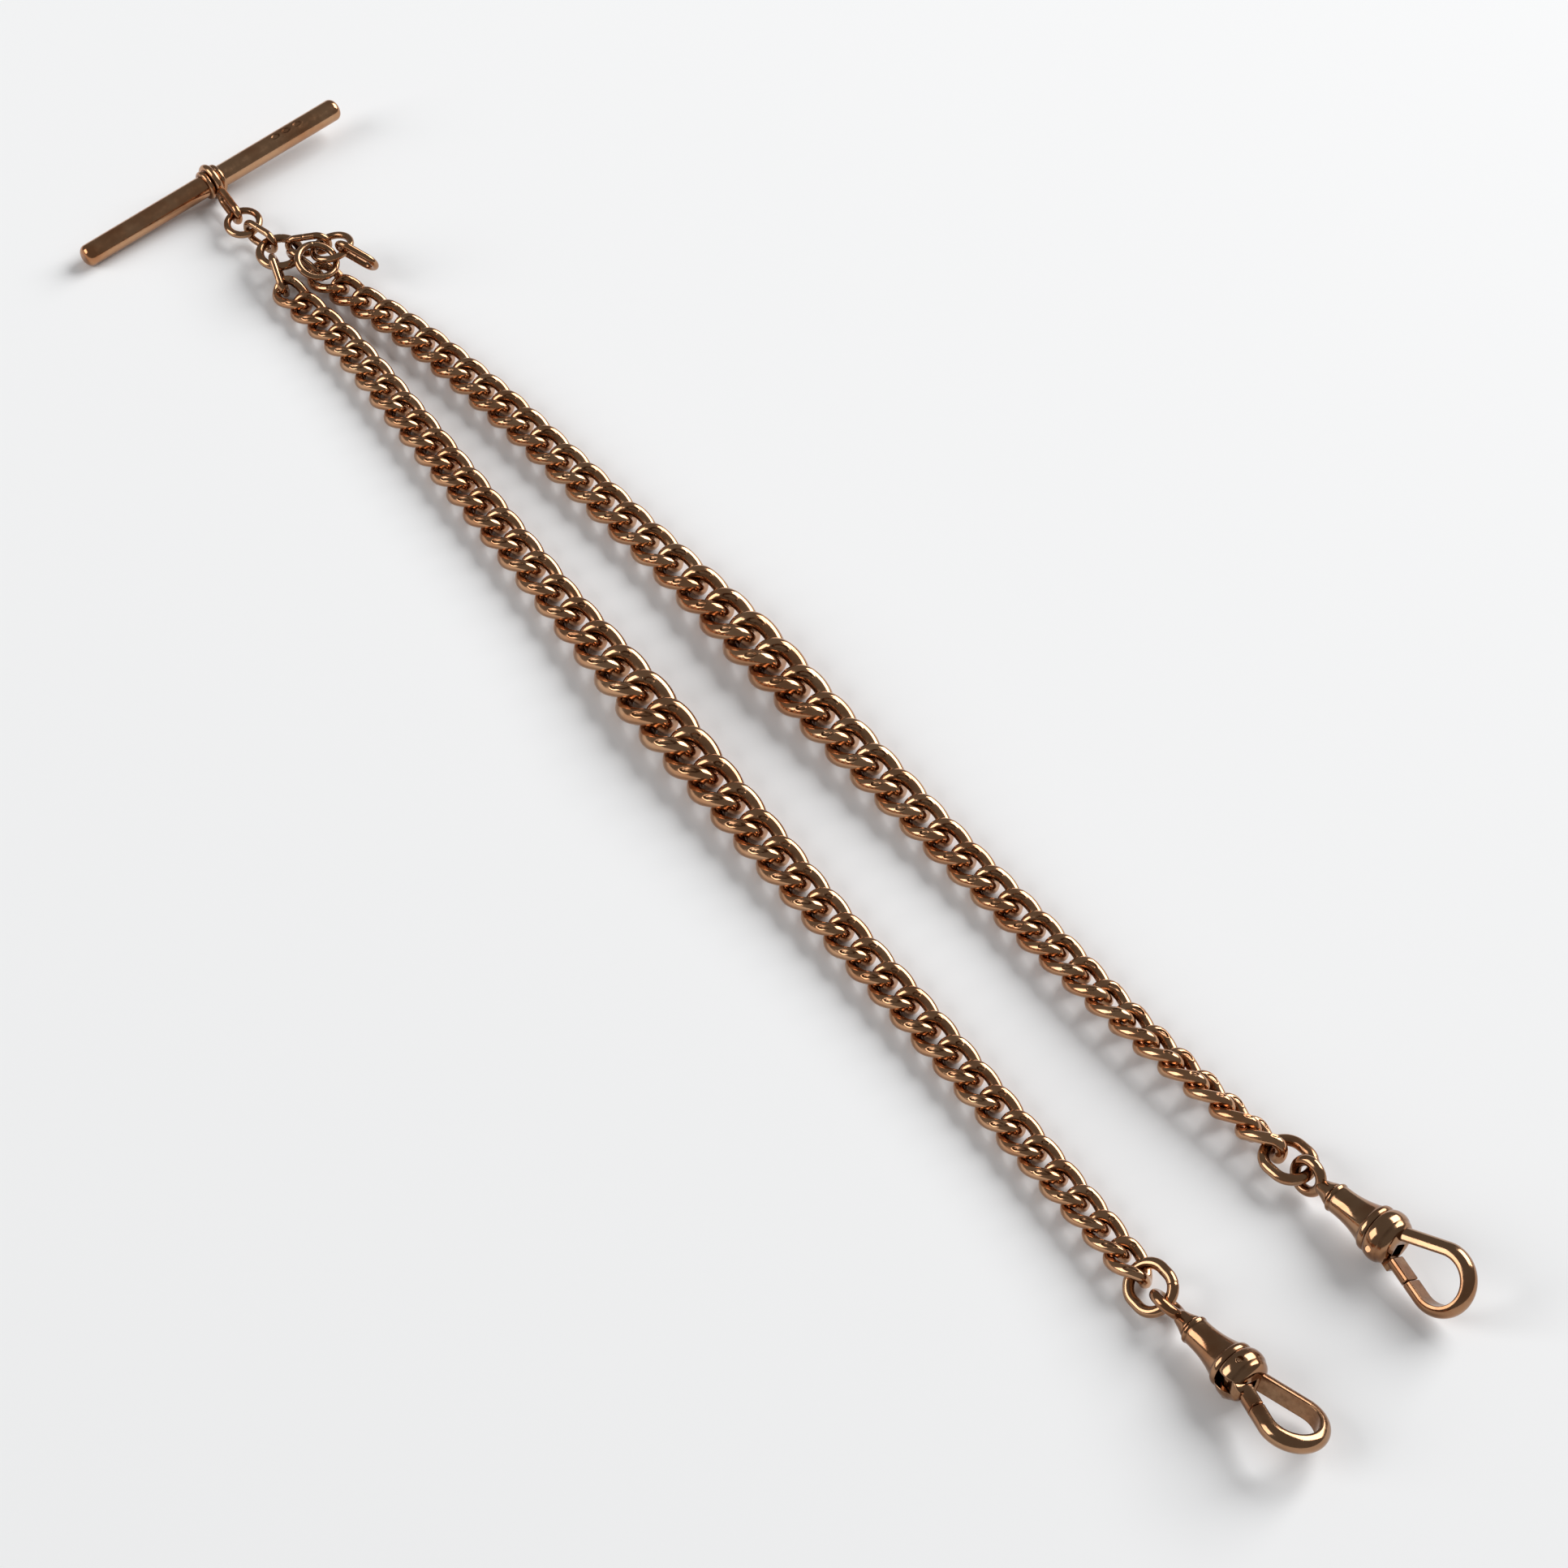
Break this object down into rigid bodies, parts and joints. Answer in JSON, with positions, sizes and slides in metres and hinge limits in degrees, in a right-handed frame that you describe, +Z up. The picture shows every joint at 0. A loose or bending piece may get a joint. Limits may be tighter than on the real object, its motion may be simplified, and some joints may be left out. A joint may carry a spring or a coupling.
{
  "type": "pocket watch chain",
  "caption": "Double pocket watch chain: a T-bar on a swivel, a centre ring with a short fob drop, and two arms of graduated curb links ending in swivel clips.",
  "frame": {"origin": "bottom centre of the chain as it lies, on the table", "axes": "+X along the chain from the T-bar to the clips, +Z up from the table"},
  "size_m": [0.232, 0.04, 0.0076],
  "materials": {
    "gold": "polished rose gold, lightly worn",
    "bar_gold": "polished rose gold",
    "clip_gold": "polished rose gold",
    "spring_steel": "spring steel"
  },
  "bodies": {
    "bar": {"t_bar": "bar_gold", "bar_collars": "bar_gold"},
    "swivel": {"bar_swivel": "bar_gold"},
    "jump_ring": {"jump_ring": "gold"},
    "top_connector": {"top_connector": "gold"},
    "centre_ring": {"centre_ring": "gold"},
    "left_connector": {"left_connector": "gold"},
    "right_connector": {"right_connector": "gold"},
    "drop_connector": {"drop_connector": "gold"},
    "drop_ring": {"drop_ring": "gold"},
    "fob_ring": {"fob_ring": "gold"},
    "fob_link": {"fob_link": "gold"},
    "left_links_01": {"left_links_01": "gold"},
    "left_links_02": {"left_links_02": "gold"},
    "left_links_03": {"left_links_03": "gold"},
    "left_links_04": {"left_links_04": "gold"},
    "left_links_05": {"left_links_05": "gold"},
    "left_links_06": {"left_links_06": "gold"},
    "left_links_07": {"left_links_07": "gold"},
    "left_links_08": {"left_links_08": "gold"},
    "left_links_09": {"left_links_09": "gold"},
    "left_links_10": {"left_links_10": "gold"},
    "left_links_11": {"left_links_11": "gold"},
    "left_links_12": {"left_links_12": "gold"},
    "left_links_13": {"left_links_13": "gold"},
    "left_links_14": {"left_links_14": "gold"},
    "left_end_link": {"left_end_link": "gold"},
    "left_clip_eye": {"left_clip_eye": "clip_gold"},
    "left_clip": {"left_clip_barrel": "clip_gold", "left_clip_hook": "clip_gold", "left_clip_gate_pin": "clip_gold", "left_clip_gate_spring": "spring_steel"},
    "left_clip_gate": {"left_clip_gate": "clip_gold"},
    "right_links_01": {"right_links_01": "gold"},
    "right_links_02": {"right_links_02": "gold"},
    "right_links_03": {"right_links_03": "gold"},
    "right_links_04": {"right_links_04": "gold"},
    "right_links_05": {"right_links_05": "gold"},
    "right_links_06": {"right_links_06": "gold"},
    "right_links_07": {"right_links_07": "gold"},
    "right_links_08": {"right_links_08": "gold"},
    "right_links_09": {"right_links_09": "gold"},
    "right_links_10": {"right_links_10": "gold"},
    "right_links_11": {"right_links_11": "gold"},
    "right_links_12": {"right_links_12": "gold"},
    "right_links_13": {"right_links_13": "gold"},
    "right_links_14": {"right_links_14": "gold"},
    "right_end_link": {"right_end_link": "gold"},
    "right_clip_eye": {"right_clip_eye": "clip_gold"},
    "right_clip": {"right_clip_barrel": "clip_gold", "right_clip_hook": "clip_gold", "right_clip_gate_pin": "clip_gold", "right_clip_gate_spring": "spring_steel"},
    "right_clip_gate": {"right_clip_gate": "clip_gold"}
  },
  "joints": [
    {"name": "bar_swivel_turn", "type": "hinge", "parent": "bar", "child": "swivel", "pos_m": [-0.1132, 0, 0.00245], "axis": [-0.0697, 0.9963, 0.05], "continuous": true},
    {"name": "jump_ring_tilt", "type": "hinge", "parent": "swivel", "child": "jump_ring", "pos_m": [-0.10624, -0.00061, 0.00221], "axis": [0, 1, 0], "range_deg": [-12, 12]},
    {"name": "top_connector_swing", "type": "hinge", "parent": "jump_ring", "child": "top_connector", "pos_m": [-0.10316, -0.00066, 0.00215], "axis": [0, 0, 1], "range_deg": [-12, 12]},
    {"name": "centre_ring_tilt", "type": "hinge", "parent": "top_connector", "child": "centre_ring", "pos_m": [-0.09896, 0, 0.0026], "axis": [0, 1, 0], "range_deg": [-12, 12]},
    {"name": "left_connector_tilt", "type": "hinge", "parent": "centre_ring", "child": "left_connector", "pos_m": [-0.09582, -0.00153, 0.0026], "axis": [0.2924, 0.9563, 0], "range_deg": [-12, 12]},
    {"name": "right_connector_tilt", "type": "hinge", "parent": "centre_ring", "child": "right_connector", "pos_m": [-0.09541, 0.00109, 0.0026], "axis": [-0.309, 0.9511, 0], "range_deg": [-3, 8]},
    {"name": "drop_connector_tilt", "type": "hinge", "parent": "centre_ring", "child": "drop_connector", "pos_m": [-0.09681, 0.00193, 0.0026], "axis": [-0.7432, 0.6691, 0], "range_deg": [-12, 4]},
    {"name": "drop_ring_tilt", "type": "hinge", "parent": "drop_connector", "child": "drop_ring", "pos_m": [-0.09425, 0.00478, 0.0037], "axis": [-0.7432, 0.6691, 0], "range_deg": [-2, 12]},
    {"name": "fob_ring_swing", "type": "hinge", "parent": "drop_ring", "child": "fob_ring", "pos_m": [-0.0921, 0.00358, 0.00407], "axis": [-0.952, -0.306, 0], "range_deg": [-2, 12]},
    {"name": "fob_link_swing", "type": "hinge", "parent": "drop_ring", "child": "fob_link", "pos_m": [-0.09076, 0.00585, 0.00423], "axis": [0.4363, -0.8998, 0], "range_deg": [-12, 12]},
    {"name": "left_links_01_drape", "type": "hinge", "parent": "left_connector", "child": "left_links_01", "pos_m": [-0.09234, -0.00259, 0.0016], "axis": [-0.0872, 0.9962, 0], "range_deg": [-10, 10]},
    {"name": "left_links_02_sway", "type": "hinge", "parent": "left_links_01", "child": "left_links_02", "pos_m": [-0.08144, -0.00183, 0.00142], "axis": [-0.0098, -0.0001, 1], "range_deg": [-10, 3]},
    {"name": "left_links_03_drape", "type": "hinge", "parent": "left_links_02", "child": "left_links_03", "pos_m": [-0.07037, -0.00215, 0.00152], "axis": [0.068, 0.9977, 0], "range_deg": [-10, 10]},
    {"name": "left_links_04_sway", "type": "hinge", "parent": "left_links_03", "child": "left_links_04", "pos_m": [-0.05906, -0.0029, 0.00162], "axis": [-0.0029, 0.0002, 1], "range_deg": [-10, 3]},
    {"name": "left_links_05_drape", "type": "hinge", "parent": "left_links_04", "child": "left_links_05", "pos_m": [-0.04731, -0.00364, 0.00166], "axis": [0.0645, 0.9979, 0], "range_deg": [-10, 10]},
    {"name": "left_links_06_sway", "type": "hinge", "parent": "left_links_05", "child": "left_links_06", "pos_m": [-0.03478, -0.00447, 0.0017], "axis": [-0.0034, 0.0002, 1], "range_deg": [-10, 4]},
    {"name": "left_links_07_drape", "type": "hinge", "parent": "left_links_06", "child": "left_links_07", "pos_m": [-0.02095, -0.00539, 0.00194], "axis": [0.0593, 0.9982, 0], "range_deg": [-10, 10]},
    {"name": "left_links_08_sway", "type": "hinge", "parent": "left_links_07", "child": "left_links_08", "pos_m": [-0.00597, -0.00622, 0.00221], "axis": [0.0071, -0.0004, 1], "range_deg": [-10, 6]},
    {"name": "left_links_09_drape", "type": "hinge", "parent": "left_links_08", "child": "left_links_09", "pos_m": [0.00872, -0.00694, 0.002], "axis": [0.0454, 0.999, 0], "range_deg": [-10, 10]},
    {"name": "left_links_10_sway", "type": "hinge", "parent": "left_links_09", "child": "left_links_10", "pos_m": [0.0224, -0.00753, 0.00182], "axis": [0.0162, -0.0005, 0.9999], "range_deg": [-10, 8]},
    {"name": "left_links_11_drape", "type": "hinge", "parent": "left_links_10", "child": "left_links_11", "pos_m": [0.03529, -0.00789, 0.00168], "axis": [0.0175, 0.9998, 0], "range_deg": [-10, 10]},
    {"name": "left_links_12_sway", "type": "hinge", "parent": "left_links_11", "child": "left_links_12", "pos_m": [0.04772, -0.00819, 0.00165], "axis": [0.0022, -0.0001, 1], "range_deg": [-10, 10]},
    {"name": "left_links_13_drape", "type": "hinge", "parent": "left_links_12", "child": "left_links_13", "pos_m": [0.05986, -0.00874, 0.00162], "axis": [0.048, 0.9988, 0], "range_deg": [-10, 10]},
    {"name": "left_links_14_sway", "type": "hinge", "parent": "left_links_13", "child": "left_links_14", "pos_m": [0.07183, -0.00926, 0.00173], "axis": [-0.0109, 0.1258, 0.992], "range_deg": [-10, 10]},
    {"name": "left_end_link_drape", "type": "hinge", "parent": "left_links_14", "child": "left_end_link", "pos_m": [0.08762, -0.01023, 0.0021], "axis": [-0.0221, 0.3121, 0.9498], "range_deg": [-12, 12]},
    {"name": "left_clip_eye_swing", "type": "hinge", "parent": "left_end_link", "child": "left_clip_eye", "pos_m": [0.09139, -0.01043, 0.0025], "axis": [-0.019, 0.8111, 0.5846], "range_deg": [-25, 21]},
    {"name": "left_clip_swivel", "type": "hinge", "parent": "left_clip_eye", "child": "left_clip", "pos_m": [0.09625, -0.01026, 0.00273], "axis": [0.9982, 0.0349, 0.0488], "continuous": true},
    {"name": "left_gate_open", "type": "hinge", "parent": "left_clip", "child": "left_clip_gate", "pos_m": [0.10395, -0.01125, 0.00359], "axis": [-0.0581, 0.3566, 0.9325], "range_deg": [0, 20], "stiffness_Nm_per_rad": 0.002, "springref_deg": -14.32},
    {"name": "right_links_01_drape", "type": "hinge", "parent": "right_connector", "child": "right_links_01", "pos_m": [-0.09194, 0.00221, 0.0016], "axis": [-0.2672, 0.9636, 0], "range_deg": [-8, 10]},
    {"name": "right_links_02_sway", "type": "hinge", "parent": "right_links_01", "child": "right_links_02", "pos_m": [-0.08137, 0.00495, 0.00142], "axis": [-0.0096, -0.0019, 1], "range_deg": [-3, 10]},
    {"name": "right_links_03_drape", "type": "hinge", "parent": "right_links_02", "child": "right_links_03", "pos_m": [-0.07043, 0.00671, 0.00152], "axis": [-0.1063, 0.9943, 0], "range_deg": [-10, 10]},
    {"name": "right_links_04_sway", "type": "hinge", "parent": "right_links_03", "child": "right_links_04", "pos_m": [-0.05915, 0.00774, 0.00162], "axis": [-0.0029, -0.0002, 1], "range_deg": [-4, 10]},
    {"name": "right_links_05_drape", "type": "hinge", "parent": "right_links_04", "child": "right_links_05", "pos_m": [-0.04739, 0.00831, 0.00166], "axis": [-0.0436, 0.999, 0], "range_deg": [-10, 10]},
    {"name": "right_links_06_sway", "type": "hinge", "parent": "right_links_05", "child": "right_links_06", "pos_m": [-0.03484, 0.00886, 0.0017], "axis": [-0.0034, -0.0001, 1], "range_deg": [-4, 10]},
    {"name": "right_links_07_drape", "type": "hinge", "parent": "right_links_06", "child": "right_links_07", "pos_m": [-0.02099, 0.00932, 0.00194], "axis": [-0.0122, 0.9999, 0], "range_deg": [-10, 10]},
    {"name": "right_links_08_sway", "type": "hinge", "parent": "right_links_07", "child": "right_links_08", "pos_m": [-0.00598, 0.00934, 0.00221], "axis": [0.0071, 0, 1], "range_deg": [-6, 10]},
    {"name": "right_links_09_drape", "type": "hinge", "parent": "right_links_08", "child": "right_links_09", "pos_m": [0.00872, 0.00931, 0.002], "axis": [-0.0052, 1, 0], "range_deg": [-10, 10]},
    {"name": "right_links_10_sway", "type": "hinge", "parent": "right_links_09", "child": "right_links_10", "pos_m": [0.02241, 0.00943, 0.00182], "axis": [0.0162, 0.0002, 0.9999], "range_deg": [-10, 10]},
    {"name": "right_links_11_drape", "type": "hinge", "parent": "right_links_10", "child": "right_links_11", "pos_m": [0.03531, 0.00961, 0.00168], "axis": [-0.0175, 0.9998, 0], "range_deg": [-10, 10]},
    {"name": "right_links_12_sway", "type": "hinge", "parent": "right_links_11", "child": "right_links_12", "pos_m": [0.04774, 0.0098, 0.00191], "axis": [-0.0262, 0.1802, 0.9833], "range_deg": [-10, 10]},
    {"name": "right_links_13_drape", "type": "hinge", "parent": "right_links_12", "child": "right_links_13", "pos_m": [0.05989, 0.00998, 0.00217], "axis": [-0.0323, 0.8982, -0.4383], "range_deg": [-6, 6]},
    {"name": "right_links_14_sway", "type": "hinge", "parent": "right_links_13", "child": "right_links_14", "pos_m": [0.07185, 0.01071, 0.00231], "axis": [-0.059, 0.6613, 0.7478], "range_deg": [-10, 10]},
    {"name": "right_end_link_drape", "type": "hinge", "parent": "right_links_14", "child": "right_end_link", "pos_m": [0.08368, 0.01178, 0.0025], "axis": [-0.1012, 0.7819, 0.6151], "range_deg": [-12, 12]},
    {"name": "right_clip_eye_swing", "type": "hinge", "parent": "right_end_link", "child": "right_clip_eye", "pos_m": [0.08746, 0.01205, 0.0027], "axis": [-0.0698, 0.9976, 0], "range_deg": [-18, 21]},
    {"name": "right_clip_swivel", "type": "hinge", "parent": "right_clip_eye", "child": "right_clip", "pos_m": [0.09229, 0.01255, 0.00303], "axis": [0.9922, 0.1043, 0.068], "continuous": true},
    {"name": "right_gate_open", "type": "hinge", "parent": "right_clip", "child": "right_clip_gate", "pos_m": [0.10009, 0.01254, 0.00249], "axis": [0.0407, -0.7881, 0.6142], "range_deg": [0, 20], "stiffness_Nm_per_rad": 0.002, "springref_deg": -14.32}
  ]
}
